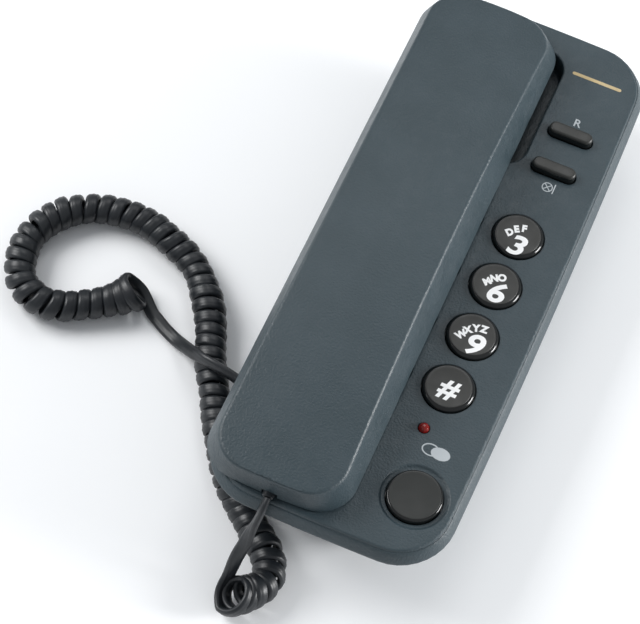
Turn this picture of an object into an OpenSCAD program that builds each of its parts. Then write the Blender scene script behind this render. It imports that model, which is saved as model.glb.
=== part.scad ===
/* [Base] */
// Overall length of the base, front end to far end
base_len = 220.6; // [200:0.2:240]
// Overall width of the base at its flared band
base_wid = 86.2; // [80:0.2:92]
// Height of the top panel above the table
panel_z = 36; // [34:1:42]
// Height of the flared band's widest line above the table
band_z = 30.5; // [29:0.5:32]
// Height of the seam between the two housing halves
seam_z = 26; // [25:0.5:27]
// Radius of the base's corners at the band
base_corner_r = 19; // [16:0.5:22]
// How far the long sides bow outwards at mid-length
side_bow = 1.4; // [0:0.1:2]
// Wall thickness of the base housings
wall = 2.4; // [1.8:0.1:2.8]

/* [Keypad] */
// Distance between rows of keys
row_pitch = 21.66; // [21:0.02:23]
// Distance between columns of keys
col_pitch = 22.5; // [21.6:0.1:23]
// X of the right-hand column
right_col_x = 21.5; // [21:0.1:22.5]
// Y of the top row
top_row_y = 19.8; // [18:0.1:22]
// Radius of a number key at the panel
key_r = 8.95; // [8:0.05:9.2]
// Radius of a number key's printed face
key_face_r = 7.7; // [6.5:0.1:8]
// Height of a number key above the panel
key_rise = 1.4; // [1:0.1:1.6]
// Travel of every key and button
key_travel = 1.2; // [0.8:0.1:1.3]

/* [Buttons] */
// Radius of the large round button
redial_r = 9.3; // [8.5:0.1:9.6]
// Length of the two oblong buttons
oblong_len = 16.2; // [14:0.2:16.4]
// Width of the two oblong buttons
oblong_wid = 5.2; // [4.4:0.1:6]
// Height of the two oblong buttons above the panel
oblong_rise = 3.2; // [2.5:0.1:3.6]

/* [Handset] */
// Length of the handset
handset_len = 210.2; // [205:0.2:212]
// Width of the handset at its rim
handset_wid = 51.4; // [50:0.2:51.8]
// X of the handset's centre line
handset_x = -17.3; // [-17.4:0.1:-17]
// Height of the handset's back above the panel at mid-length
back_rise = 19; // [16:0.5:22]
// Height of the handset's back above the panel at its ends
end_rise = 9.8; // [9:0.1:11]
// Wall thickness of the handset's shells
shell_wall = 2.2; // [1.8:0.1:2.4]

/* [Cord] */
// Outer diameter of the curled stretch
coil_d = 11; // [10:0.5:11]
// Diameter of the plain leads
lead_d = 3; // [2.4:0.2:3.2]

/* [Hidden] */

eps = 0.01;
arc_steps = 7;
long_steps = 6;
short_steps = 4;
base_hw = base_wid / 2;
base_hl = base_len / 2;
panel_inset_x = 2.7;
panel_inset_y = 2.3;
panel_corner_draw = 2;
fit_gap = 0.1;
end_bow = 0.9;
roof_z = panel_z - wall;

// Lower housing: taper from the seam to the foot plate
foot_h = 1.6;
seam_gap = 0.2;
seam_inset = 3.5;
seam_step = 0.2;
foot_inset = 17;
foot_cavity_inset = 15.8;
floor_z = foot_h + 2.2;

// Wells that take the two ends of the handset: [low x, low y, high x, high y]
ear_well = [-35.2, 46, 12, 98];
mic_well = [-35.2, -99, 4, -61];
well_floor_z = panel_z - 8;
well_corner_r = 8;
well_wall = 2;

// Key grid and button places
columns = [right_col_x - 2 * col_pitch, right_col_x - col_pitch, right_col_x];
rows = [for (i = [0:3]) top_row_y - i * row_pitch];
key_gap = 0.25;
flange_t = 1.2;
flange_drop = 0.6;
redial_pos = [26, -86.5];
redial_rise = 1.3;
recall_pos = [23.6, 66.4];
mute_pos = [23.3, 50.1];
led_pos = [19.5, -62.1];
led_r = 1.9;
led_shoulder = 0.3;
flange_wid = 0.9;
face_edge_drop = 0.25;
face_dish = 0.45;
board_z = 27;
board_t = 1.6;
board_parts = [[-35, -58.5, 35, 43], [15.5, -92, 33, -58.5], [16.5, 43, 35, 72]];
membrane_t = 1.4;
membrane_parts = [[-34, -57.5, 34, 31], [17, -91, 32, -80], [17, 45, 33, 71]];
dome_r = 4;
small_dome_r = 2.5;
dish_r = 11.7;
dish_depth = 0.7;
flange_z = roof_z - flange_drop - flange_t;

// Housing screws, feet and wall slots
screw_places = [[16.5, 82], [-16.5, 82], [11, -82], [-16.5, -82]];
screw_shelf_z = 8;
boss_top_z = 14;
boss_r = 3.7;
pilot_r = 1.4;
foot_places = [for (sx = [-1, 1], sy = [-1, 1]) [20.5 * sx, 66 * sy]];
foot_r = 4.5;
foot_top_z = foot_h + 0.4;
screw_head_r = 2.8;
screw_head_h = 2;
screw_head_hole_r = 3.1;
screw_gap = 0.3;
driver_half = 0.4;
pilot_depth = 8;
wall_slot_y = 50;
wall_slot_r = 2.2;
wall_slot_len = 11;
wall_head_r = 4.4;

// Hook switch under the earpiece well
hook_pos = [handset_x, 62];
hook_stem_r = 3.5;
hook_top_z = panel_z - 6.8;
hook_flange_z = 17;
hook_switch_top = 10;
hook_gap = 0.25;
hook_flange_r = 5;
hook_flange_t = 1.5;
hook_foot_r = 2.5;
button_r = 1.5;
button_h = 1.5;
spring_r = 3.9;

// Ringer: sounder over its grille, loudness switch in its slot [low x, low y, high x, high y]
ringer_pos = [0, -30];
sounder_r = 11;
sounder_h = 6;
grille_len = 16;
grille_wid = 1.4;
grille_pitch = 3;
switch_box = [10, 10, 18, 26];
switch_slot = [12, 14, 16, 22.4];
knob_box = [12.3, 14.3, 15.7, 18.1];

// Sockets: a modular jack is jack_w wide, jack_h high and jack_l deep
jack_w = 12;
jack_h = 11.5;
jack_l = 13;
jack_gap = 0.3;
jack_back = 2;
socket_floor = 2.2;
latch_half = 1.8;
latch_rise = 1.4;
window_reach = 4.5;
line_jack_y = 93.5;
line_jack_z = 5;
cord_jack_x = -28.5;
cord_jack_y = -63;
cord_jack_z = 6.8;

// Handset
rim_gap = 0.5;
rim_z = panel_z + rim_gap;
rim_relief = 2;
handset_y = -1.1;
handset_hw = handset_wid / 2;
handset_hl = handset_len / 2;
handset_corner_r = 12;
handset_end_bow = 1.6;
handset_side_draw = 3.4;
handset_waist = 1.6;
handset_far_draw = 4.2;
arch_half = 108;
arch_power = 0.9;
relief_from = -57.5;
relief_to = 32;
ear_pos = [handset_x, 76];
mic_pos = [handset_x, -80];
ear_pod_r = 17.4;
mic_pod_r = 16.5;
pod_z = panel_z - 6.5;
grip_z = panel_z + 5;
grip_t = 2;
pod_wall = 2;
shell_gap = 0.3;
grille_hole_r = 1.1;
grille_ring_r = 5;
mic_slot_len = 8;
mic_slot_wid = 1.2;
mic_slot_pitch = 3;
exit_x = -16.5;
exit_notch_w = 5.4;
handset_screw_places = [[handset_x, 46], [handset_x, -52]];
handset_jack_y = -99.5;
handset_jack_z = panel_z + 0.9;
handset_jack_l = 11;
handset_jack_h = 6.3;
set_plug_w = 7.6;
set_plug_h = 4.7;
set_plug_l = 11.8;
set_plug_y = -103.6;
boot_wid = 4.6;

// Cord route: centre line of the curled stretch, from the handset's end to the base's end
coil_z = coil_d / 2;
coil_route = [[-17.7, -129.4], [-14.1, -127.8], [-10.7, -125], [-9.1, -121.5], [-9.4, -117.4],
              [-11.6, -113.3], [-14.8, -110], [-18.6, -107], [-23.3, -102.9], [-28, -99],
              [-33, -94.5], [-38.5, -88], [-44, -79.5], [-49, -71], [-53.4, -63.3],
              [-59.4, -53.3], [-63.9, -42.4], [-70.1, -32.1], [-79, -22], [-89, -17],
              [-101, -13], [-113, -13], [-124, -17], [-132, -25], [-136, -35], [-135, -45],
              [-131, -53], [-124, -57], [-116, -57], [-107, -52], [-99, -46.5], [-92.5, -41]];
// Plain lead from the handset's end down to the curled stretch
handset_route = [[-16.5, -108.8, 37.1], [-16.4, -110.6, 36.1], [-16.5, -113, 32.6],
                 [-16.9, -116, 27.5], [-17.9, -119.7, 21], [-19.2, -123.3, 14.5],
                 [-20, -126.3, 9.5], [-18.6, -128.6, 6]];
// Plain lead from the curled stretch over it and up to the plug in the base's left side
base_route = [[-93.5, -41.8, 5], [-91, -40.6, 3.6], [-88, -41.2, 3], [-84.4, -43.8, 3],
              [-80, -46.6, 3], [-75.7, -48.6, 3.2], [-70.9, -50.9, 5.2], [-67, -53.1, 8.6],
              [-62.9, -55.8, 11.6], [-58.2, -58.3, 13.3], [-53.3, -59.8, 13.8],
              [-47, -60.8, 13.6], [-40, -62.4, 13], [-34, -63, 12.6], [-31.4, -63, 12.6]];

// ---- outlines and swept tubes ----

function arc(cx, cy, r, start) =
    [for (i = [0:arc_steps]) [cx + r * cos(start + 90 * i / arc_steps),
                              cy + r * sin(start + 90 * i / arc_steps)]];

function rounded(hw, hl, r) = concat(
    [for (i = [1:long_steps - 1]) [hw, (hl - r) * (2 * i / long_steps - 1)]],
    arc(hw - r, hl - r, r, 0),
    [for (i = [1:short_steps - 1]) [(hw - r) * (1 - 2 * i / short_steps), hl]],
    arc(r - hw, hl - r, r, 90),
    [for (i = [1:long_steps - 1]) [-hw, (hl - r) * (1 - 2 * i / long_steps)]],
    arc(r - hw, r - hl, r, 180),
    [for (i = [1:short_steps - 1]) [(hw - r) * (2 * i / short_steps - 1), -hl]],
    arc(hw - r, r - hl, r, 270));

function bowed(hw, hl, r, long_bow, short_bow) =
    [for (p = rounded(hw, hl, r)) [p.x * (1 - long_bow / hw * pow(p.y / hl, 2)),
                                   p.y * (1 - short_bow / hl * pow(p.x / hw, 2))]];

function unit(v) = v / norm(v);

function heading(route, i) =
    unit(route[min(i + 1, len(route) - 1)] - route[max(i - 1, 0)]);

// Closed tube of radius r with one ring at each point of the route; across is any
// direction that the route never runs along
module tube(route, r, sides, across) {
    count = len(route);
    rings = [for (i = [0:count - 1])
                 let (d = heading(route, i), u = unit(cross(d, across)), v = cross(u, d))
                     for (j = [0:sides - 1])
                         route[i] + r * (cos(360 * j / sides) * u + sin(360 * j / sides) * v)];
    skin = [for (i = [0:count - 2], j = [0:sides - 1])
                let (k = (j + 1) % sides)
                    [i * sides + j, i * sides + k, (i + 1) * sides + k, (i + 1) * sides + j]];
    near_cap = [for (j = [0:sides - 1]) sides - 1 - j];
    far_cap = [for (j = [0:sides - 1]) (count - 1) * sides + j];
    polyhedron(points = rings, faces = concat([near_cap], skin, [far_cap]), convexity = 6);
}

module base_slice(z, hw, hl, r) {
    translate([0, 0, z])
        linear_extrude(height = eps)
            polygon(bowed(hw, hl, r, side_bow, end_bow));
}

module rounded_box(box, r, z0, z1) {
    translate([(box[0] + box[2]) / 2, (box[1] + box[3]) / 2, z0])
        linear_extrude(height = z1 - z0)
            polygon(rounded((box[2] - box[0]) / 2, (box[3] - box[1]) / 2, r));
}

module block(x0, x1, y0, y1, z0, z1) {
    translate([x0, y0, z0])
        cube([x1 - x0, y1 - y0, z1 - z0]);
}

// Block over a rectangle given as [low x, low y, high x, high y]
module plate(box, z0, z1) {
    block(box[0], box[2], box[1], box[3], z0, z1);
}

// Block over a rectangle len long in X and wid wide, centred at pos
module slot_block(pos, len, wid, z0, z1) {
    block(pos.x - len / 2, pos.x + len / 2, pos.y - wid / 2, pos.y + wid / 2, z0, z1);
}

module rod(pos, r, z0, z1) {
    translate([pos.x, pos.y, z0])
        cylinder(h = z1 - z0, r = r, $fn = 48);
}

module stadium(pos, len, wid, z0, z1) {
    half = (len - wid) / 2;
    for (s = [-1, 1])
        rod([pos.x + s * half, pos.y], wid / 2, z0, z1);
    block(pos.x - half, pos.x + half, pos.y - wid / 2, pos.y + wid / 2, z0, z1);
}

// ---- base ----

// Grown box around a well: the plastic that lines it
function lined(box) = [box[0] - well_wall, box[1] - well_wall, box[2] + well_wall, box[3] + well_wall];

module upper_skin(inset, z_low, z_top) {
    hull() {
        base_slice(z_low, base_hw - seam_inset - inset, base_hl - seam_inset - inset,
                   base_corner_r - inset);
        base_slice(band_z, base_hw - inset, base_hl - inset, base_corner_r - inset);
        base_slice(z_top - eps, base_hw - panel_inset_x - inset, base_hl - panel_inset_y - inset,
                   base_corner_r - panel_corner_draw - inset);
    }
}

module screw_post(pos, top) {
    difference() {
        rod(pos, boss_r - fit_gap, boss_top_z, top);
        rod(pos, pilot_r, boss_top_z - eps, boss_top_z + pilot_depth);
    }
}

module key_holes() {
    for (x = columns, y = rows)
        rod([x, y], key_r + key_gap, roof_z - 1, panel_z + 1);
    rod(redial_pos, redial_r + key_gap, roof_z - 1, panel_z + 1);
    for (pos = [recall_pos, mute_pos])
        stadium(pos, oblong_len + 2 * key_gap, oblong_wid + 2 * key_gap, roof_z - 1, panel_z + 1);
    rod(led_pos, led_r + fit_gap, roof_z - 1, panel_z + 1);
}

module base_upper_housing() color("darkslategray") {
    difference() {
        upper_skin(0, seam_z, panel_z);
        difference() {
            upper_skin(wall, seam_z - 1, roof_z);
            rounded_box(lined(ear_well), well_corner_r, well_floor_z - well_wall, panel_z);
            rounded_box(lined(mic_well), well_corner_r, well_floor_z - well_wall, panel_z);
        }
        rounded_box(ear_well, well_corner_r, well_floor_z, panel_z + 1);
        rounded_box(mic_well, well_corner_r, well_floor_z, panel_z + 1);
        rod(hook_pos, hook_stem_r + hook_gap, well_floor_z - well_wall - 1, panel_z);
        rod(redial_pos, dish_r, panel_z - dish_depth, panel_z + 1);
        key_holes();
    }
    screw_post(screw_places[0], roof_z);
    screw_post(screw_places[1], well_floor_z - 1);
    screw_post(screw_places[2], roof_z);
    screw_post(screw_places[3], well_floor_z - 1);
}

module lower_skin(inset, z_low, foot_in, z_top) {
    hull() {
        base_slice(z_low, base_hw - foot_in - inset, base_hl - foot_in - inset, base_corner_r - inset);
        base_slice(z_top - eps, base_hw - seam_inset - seam_step - inset,
                   base_hl - seam_inset - seam_step - inset, base_corner_r - inset);
    }
}

module wall_slots() {
    for (y = [-wall_slot_y, wall_slot_y]) {
        block(-wall_slot_r, wall_slot_r, y - wall_slot_len / 2 + wall_slot_r,
              y + wall_slot_len / 2 - wall_slot_r, 0, floor_z + 1);
        for (s = [-1, 1])
            rod([0, y + s * (wall_slot_len / 2 - wall_slot_r)], wall_slot_r, 0, floor_z + 1);
        rod([0, y - wall_slot_len / 2 - 1], wall_head_r, 0, floor_z + 1);
    }
}

// Hole in a wall for a modular jack, from y = 0 outwards along +Y
module jack_window(len) {
    block(-jack_w / 2 - jack_gap, jack_w / 2 + jack_gap, 0, len, -jack_gap, jack_h + jack_gap);
}

module base_lower_housing() color("darkslategray") {
    difference() {
        union() {
            difference() {
                lower_skin(0, foot_h, foot_inset, seam_z - seam_gap);
                lower_skin(wall, floor_z, foot_cavity_inset, seam_z + 1);
            }
            for (pos = screw_places)
                rod(pos, boss_r, floor_z - eps, boss_top_z);
        }
        for (pos = screw_places) {
            rod(pos, screw_head_hole_r, 0, screw_shelf_z);
            rod(pos, pilot_r + screw_gap, 0, boss_top_z + 1);
        }
        for (pos = foot_places)
            rod(pos, foot_r + fit_gap, 0, foot_top_z);
        wall_slots();
        translate([0, line_jack_y - jack_back, line_jack_z])
            jack_window(base_hl - line_jack_y + jack_back);
        translate([cord_jack_x + window_reach, cord_jack_y, cord_jack_z])
            rotate(90)
                jack_window(base_hw);
        for (i = [-3:3])
            translate([0, grille_pitch * i])
                slot_block(ringer_pos, grille_len, grille_wid, 0, floor_z + 1);
        plate(switch_slot, 0, floor_z + 1);
    }
}

module rubber_feet() color("black") {
    for (pos = foot_places)
        rod(pos, foot_r, 0, foot_top_z);
}

module housing_screws() color("silver") {
    for (pos = screw_places) {
        difference() {
            rod(pos, screw_head_r, screw_shelf_z - screw_head_h, screw_shelf_z);
            slot_block(pos, 4, 2 * driver_half, 0, screw_shelf_z - 1);
            slot_block(pos, 2 * driver_half, 4, 0, screw_shelf_z - 1);
        }
        rod(pos, pilot_r - fit_gap / 2, screw_shelf_z, boss_top_z + pilot_depth - 1);
    }
}

module main_circuit_board() color("seagreen") {
    for (box = board_parts)
        plate(box, board_z, board_z + board_t);
}

module membrane_dome(pos, r) {
    rod(pos, r, board_z + board_t + membrane_t - eps, flange_z - key_travel - fit_gap);
}

module keypad_membrane() color("gainsboro") {
    z0 = board_z + board_t;
    for (box = membrane_parts)
        plate(box, z0, z0 + membrane_t);
    for (x = columns, y = rows)
        membrane_dome([x, y], dome_r);
    membrane_dome(redial_pos, dome_r);
    membrane_dome(recall_pos, small_dome_r);
    membrane_dome(mute_pos, small_dome_r);
}

// Number key: stem and flange under the panel, a cap with a rounded shoulder and a
// shallow dished face above it
module round_key(pos, r, face_r, rise) {
    top = panel_z + rise;
    shoulder = r - face_r;
    translate([pos.x, pos.y, 0])
        rotate_extrude($fn = 64)
            polygon(concat([[0, flange_z], [r + flange_wid, flange_z],
                            [r + flange_wid, flange_z + flange_t], [r, flange_z + flange_t]],
                           [for (a = [0:15:90]) [r - shoulder * (1 - cos(a)),
                                                 top - shoulder * (1 - sin(a))]],
                           [[face_r - 2 * face_edge_drop, top - face_edge_drop], [0, top - face_dish]]));
}

module key_at(column, row) color("dimgray") {
    round_key([columns[column], rows[row]], key_r, key_face_r, key_rise);
}

module key_1() { key_at(0, 0); }
module key_2() { key_at(1, 0); }
module key_3() { key_at(2, 0); }
module key_4() { key_at(0, 1); }
module key_5() { key_at(1, 1); }
module key_6() { key_at(2, 1); }
module key_7() { key_at(0, 2); }
module key_8() { key_at(1, 2); }
module key_9() { key_at(2, 2); }
module key_star() { key_at(0, 3); }
module key_0() { key_at(1, 3); }
module key_hash() { key_at(2, 3); }

module redial_key() color("dimgray") {
    round_key(redial_pos, redial_r, redial_r - 0.8, redial_rise);
}

module oblong_key(pos) color("dimgray") {
    stadium(pos, oblong_len + 2 * flange_wid, oblong_wid + 2 * flange_wid, flange_z,
            flange_z + flange_t);
    stadium(pos, oblong_len, oblong_wid, flange_z + flange_t - eps, panel_z + oblong_rise);
}

module recall_key() { oblong_key(recall_pos); }
module mute_key() { oblong_key(mute_pos); }

module ring_indicator_led() color("red") {
    rod(led_pos, led_r, board_z + board_t, panel_z - led_shoulder);
    translate([led_pos.x, led_pos.y, panel_z - led_shoulder])
        difference() {
            sphere(r = led_r, $fn = 32);
            translate([0, 0, -led_r - eps])
                cube([3 * led_r, 3 * led_r, 2 * led_r], center = true);
        }
}

module ringer_sounder() color("black") {
    difference() {
        rod(ringer_pos, sounder_r, floor_z, floor_z + sounder_h);
        rod(ringer_pos, 2, floor_z - 1, floor_z + 2);
    }
}

module ringer_switch() color("silver") {
    difference() {
        plate(switch_box, floor_z + 1.4, floor_z + sounder_h);
        plate(switch_slot, 0, floor_z + 4);
    }
    for (y = [switch_box[1], switch_box[3] - 1])
        block(switch_box[0], switch_box[2], y, y + 1, floor_z, floor_z + 1.5);
}

module ringer_switch_knob() color("black") {
    plate(knob_box, foot_h + 0.3, floor_z + 3.7);
}

module hook_plunger() color("black") {
    rod(hook_pos, hook_stem_r, hook_flange_z + hook_flange_t, hook_top_z);
    rod(hook_pos, hook_flange_r, hook_flange_z, hook_flange_z + hook_flange_t);
    rod(hook_pos, hook_foot_r, hook_switch_top + button_h + 0.3, hook_flange_z);
}

module hook_spring() color("silver") {
    turns = 5;
    steps = 14;
    wire_r = 0.35;
    low = hook_switch_top + wire_r + 0.05;
    high = hook_flange_z - wire_r - 0.05;
    tube([for (i = [0:turns * steps])
              [hook_pos.x + spring_r * cos(360 * i / steps),
               hook_pos.y + spring_r * sin(360 * i / steps),
               low + (high - low) * i / (turns * steps)]], wire_r, 6, [0, 0, 1]);
}

module hook_switch() color("dimgray") {
    block(hook_pos.x - 6, hook_pos.x + 6, hook_pos.y - 10, hook_pos.y + 10, floor_z, hook_switch_top);
    rod(hook_pos, button_r, hook_switch_top - eps, hook_switch_top + button_h);
}

// Modular jack whose mouth is its y = 0 face, body behind it along -Y, from z = 0 up
module modular_jack(socket_w, socket_h) {
    difference() {
        block(-jack_w / 2, jack_w / 2, -jack_l, 0, 0, jack_h);
        block(-socket_w / 2, socket_w / 2, -jack_l + jack_back, 1, socket_floor,
              socket_floor + socket_h);
        block(-latch_half, latch_half, -jack_l + jack_back, 1, socket_floor + socket_h - eps,
              socket_floor + socket_h + latch_rise);
    }
}

// Modular plug: cord end is its y = 0 face, nose towards -Y
module modular_plug(plug_w, plug_h, plug_l) {
    block(-plug_w / 2, plug_w / 2, -plug_l, 0, 0, plug_h);
    block(-1.5, 1.5, -plug_l + 1, -1.5, plug_h - eps, plug_h + 0.8);
}

module line_jack() color("black") {
    translate([0, line_jack_y, line_jack_z])
        modular_jack(10, 7);
}

module cord_jack_base() color("black") {
    translate([cord_jack_x, cord_jack_y, cord_jack_z])
        rotate(90)
            modular_jack(8.1, 7);
}

module base_plug() color("lightgray") {
    translate([-31.6, cord_jack_y, cord_jack_z + 2.4])
        rotate(90)
            modular_plug(7.7, 6.4, 12.6);
}

// ---- handset ----

// Rise of the back along the handset: 1 at mid-length, 0 just past its ends
function arch(y) = pow(cos(90 * (y - handset_y) / arch_half), arch_power);
function back_z(y) = end_rise + (back_rise - end_rise) * arch(y);
function back_hw(y) = handset_hw - handset_side_draw - handset_waist * arch(y);

module handset_slice(z, hw, low_y, high_y, r) {
    translate([handset_x, (low_y + high_y) / 2, z])
        linear_extrude(height = eps)
            polygon(bowed(hw, (high_y - low_y) / 2, r, 0, handset_end_bow));
}

// Convex block of the handset above its rim, drawn in by inset all round
module handset_block(inset, z_low) {
    low_y = handset_y - handset_hl + inset;
    high_y = handset_y + handset_hl - inset;
    hull() {
        handset_slice(z_low, handset_hw - inset, low_y, high_y, handset_corner_r - inset);
        handset_slice(panel_z + end_rise - inset, handset_hw - handset_side_draw - inset, low_y,
                      high_y - handset_far_draw, handset_corner_r - inset);
        for (y = [-90:20:90])
            translate([handset_x - back_hw(y) + inset, y, panel_z + back_z(y) - inset - 1])
                cube([2 * (back_hw(y) - inset), eps, 1]);
    }
}

module handset_upper_shell() color("darkslategray") {
    difference() {
        handset_block(0, rim_z);
        handset_block(shell_wall, rim_z - 1);
        block(handset_x, handset_x + handset_hw + 1, relief_from, relief_to, rim_z - 1,
              panel_z + rim_relief);
        block(exit_x - exit_notch_w / 2, exit_x + exit_notch_w / 2, -120, -100, rim_z - 1,
              panel_z + 2.9);
    }
    for (pos = handset_screw_places)
        difference() {
            rod(pos, 3.4, grip_z + grip_t, panel_z + 16);
            rod(pos, pilot_r, grip_z + grip_t - eps, panel_z + 14);
        }
}

module pod(pos, r, z_low) {
    difference() {
        rod(pos, r, z_low, grip_z + grip_t);
        rod(pos, r - pod_wall, z_low + pod_wall, grip_z + grip_t + 1);
    }
}

module handset_lower_shell() color("darkslategray") {
    difference() {
        union() {
            difference() {
                intersection() {
                    handset_block(shell_wall + shell_gap, rim_z - 1);
                    block(-base_wid, base_wid, -base_len, base_len, grip_z, grip_z + grip_t);
                }
                rod(ear_pos, ear_pod_r - 1, 0, panel_z + 20);
                rod(mic_pos, mic_pod_r - 1, 0, panel_z + 20);
            }
            pod(ear_pos, ear_pod_r, pod_z);
            pod(mic_pos, mic_pod_r, pod_z);
        }
        for (i = [0:5])
            rod(ear_pos + grille_ring_r * [cos(60 * i), sin(60 * i)], grille_hole_r, 0, pod_z + 3);
        rod(ear_pos, grille_hole_r, 0, pod_z + 3);
        for (i = [-1:1])
            translate([0, mic_slot_pitch * i])
                slot_block(mic_pos, mic_slot_len, mic_slot_wid, 0, pod_z + 3);
        for (pos = handset_screw_places) {
            rod(pos, pilot_r + screw_gap, 0, panel_z + 20);
            rod(pos, screw_head_r + fit_gap, 0, grip_z + 0.9);
        }
        block(exit_x - jack_w / 2 - jack_gap, exit_x + jack_w / 2 + jack_gap, -110,
              handset_jack_y + handset_jack_l + 0.4, handset_jack_z - jack_gap, panel_z + 20);
    }
}

module receiver_capsule() color("black") {
    rod(ear_pos, 15, pod_z + 3, pod_z + 8);
    rod(ear_pos, 9, pod_z + 8 - eps, pod_z + 12);
}

module receiver_gasket() color("dimgray") {
    difference() {
        rod(ear_pos, 15, pod_z + 2, pod_z + 3);
        rod(ear_pos, 8, 0, panel_z);
    }
}

module microphone_capsule() color("silver") {
    rod(mic_pos, 5, pod_z + 2, pod_z + 6.5);
}

module handset_weight() color("gray") {
    block(handset_x - 12, handset_x + 12, -36, 30, grip_z + grip_t, grip_z + grip_t + 4);
}

module handset_screws() color("silver") {
    for (pos = handset_screw_places) {
        rod(pos, 2.6, grip_z - 0.6, grip_z + 0.9);
        rod(pos, pilot_r - 0.05, grip_z + 0.8, panel_z + 13);
    }
}

module handset_jack() color("black") {
    translate([exit_x, handset_jack_y, handset_jack_z])
        rotate(180)
            difference() {
                block(-jack_w / 2, jack_w / 2, -handset_jack_l, 0, 0, handset_jack_h);
                block(-4, 4, -handset_jack_l + jack_back, 1, 0.6, handset_jack_h - 0.6);
            }
}

module handset_plug() color("lightgray") {
    translate([exit_x, set_plug_y, handset_jack_z + 0.8])
        rotate(180)
            block(-set_plug_w / 2, set_plug_w / 2, -set_plug_l, 0, 0, set_plug_h);
    block(exit_x - boot_wid / 2, exit_x + boot_wid / 2, set_plug_y - 4, set_plug_y + 0.1,
          handset_jack_z - 0.3, handset_jack_z + 1.9);
}

// ---- cord ----

module curly_cord_coil() color("black") {
    tube([for (p = coil_route) [p.x, p.y, coil_z]], coil_d / 2, 12, [0, 0, 1]);
}

module cord_lead_handset() color("black") {
    tube(handset_route, lead_d / 2, 8, [1, 0, 0]);
}

module cord_lead_base() color("black") {
    tube(base_route, lead_d / 2, 8, [0, 0, 1]);
}

base_upper_housing();
base_lower_housing();
rubber_feet();
housing_screws();
main_circuit_board();
keypad_membrane();
key_1();
key_2();
key_3();
key_4();
key_5();
key_6();
key_7();
key_8();
key_9();
key_star();
key_0();
key_hash();
recall_key();
mute_key();
redial_key();
ring_indicator_led();
ringer_sounder();
ringer_switch();
ringer_switch_knob();
hook_plunger();
hook_spring();
hook_switch();
line_jack();
cord_jack_base();
base_plug();
handset_upper_shell();
handset_lower_shell();
receiver_capsule();
receiver_gasket();
microphone_capsule();
handset_weight();
handset_screws();
handset_jack();
handset_plug();
curly_cord_coil();
cord_lead_handset();
cord_lead_base();
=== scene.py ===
import math

import bmesh
import bpy
import numpy as np
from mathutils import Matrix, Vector
from mathutils.geometry import delaunay_2d_cdt


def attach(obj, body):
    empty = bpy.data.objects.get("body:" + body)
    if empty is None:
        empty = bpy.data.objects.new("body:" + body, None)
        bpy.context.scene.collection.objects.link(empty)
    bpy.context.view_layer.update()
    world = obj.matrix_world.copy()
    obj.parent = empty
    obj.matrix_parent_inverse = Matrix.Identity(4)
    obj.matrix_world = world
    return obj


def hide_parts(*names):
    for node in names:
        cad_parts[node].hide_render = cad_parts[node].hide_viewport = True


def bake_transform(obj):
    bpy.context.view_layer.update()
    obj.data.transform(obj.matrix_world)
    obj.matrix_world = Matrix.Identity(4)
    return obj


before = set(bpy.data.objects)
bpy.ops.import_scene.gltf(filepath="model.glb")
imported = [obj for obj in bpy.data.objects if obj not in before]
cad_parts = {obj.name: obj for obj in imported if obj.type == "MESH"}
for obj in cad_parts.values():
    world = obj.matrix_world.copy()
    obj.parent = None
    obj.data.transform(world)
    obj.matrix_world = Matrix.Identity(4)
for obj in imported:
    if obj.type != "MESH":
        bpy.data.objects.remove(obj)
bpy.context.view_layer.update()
MM = 0.001

# ---- camera: its lens and place were solved from the photo's perspective ----

camera_data = bpy.data.cameras.new("camera")
camera_data.lens = 141.75
camera_data.sensor_width = 36
camera = bpy.data.objects.new("camera", camera_data)
camera.location = (0.08167, -0.44467, 0.76081)
camera.rotation_euler = [math.radians(a) for a in (29.9207, -4.5792, 22.9597)]
bpy.context.scene.collection.objects.link(camera)
bpy.context.scene.camera = camera

# ---- materials: every one is noise-driven ----


def noise(tree, scale, detail, place=(0, 0, 0)):
    """A noise texture on the object's own coordinates, in metres."""
    coord = tree.nodes.new("ShaderNodeTexCoord")
    shift = tree.nodes.new("ShaderNodeMapping")
    shift.inputs["Location"].default_value = place
    tree.links.new(coord.outputs["Object"], shift.inputs["Vector"])
    node = tree.nodes.new("ShaderNodeTexNoise")
    node.inputs["Scale"].default_value = scale
    node.inputs["Detail"].default_value = detail
    tree.links.new(shift.outputs["Vector"], node.inputs["Vector"])
    return node.outputs["Fac"]


def ramp(tree, fac, low, high, start=0.35, end=0.65):
    """Maps a noise value from start..end to the colours low..high."""
    node = tree.nodes.new("ShaderNodeValToRGB")
    node.color_ramp.elements[0].position = start
    node.color_ramp.elements[1].position = end
    node.color_ramp.elements[0].color = (*low, 1)
    node.color_ramp.elements[1].color = (*high, 1)
    tree.links.new(fac, node.inputs["Fac"])
    return node.outputs["Color"]


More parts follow.
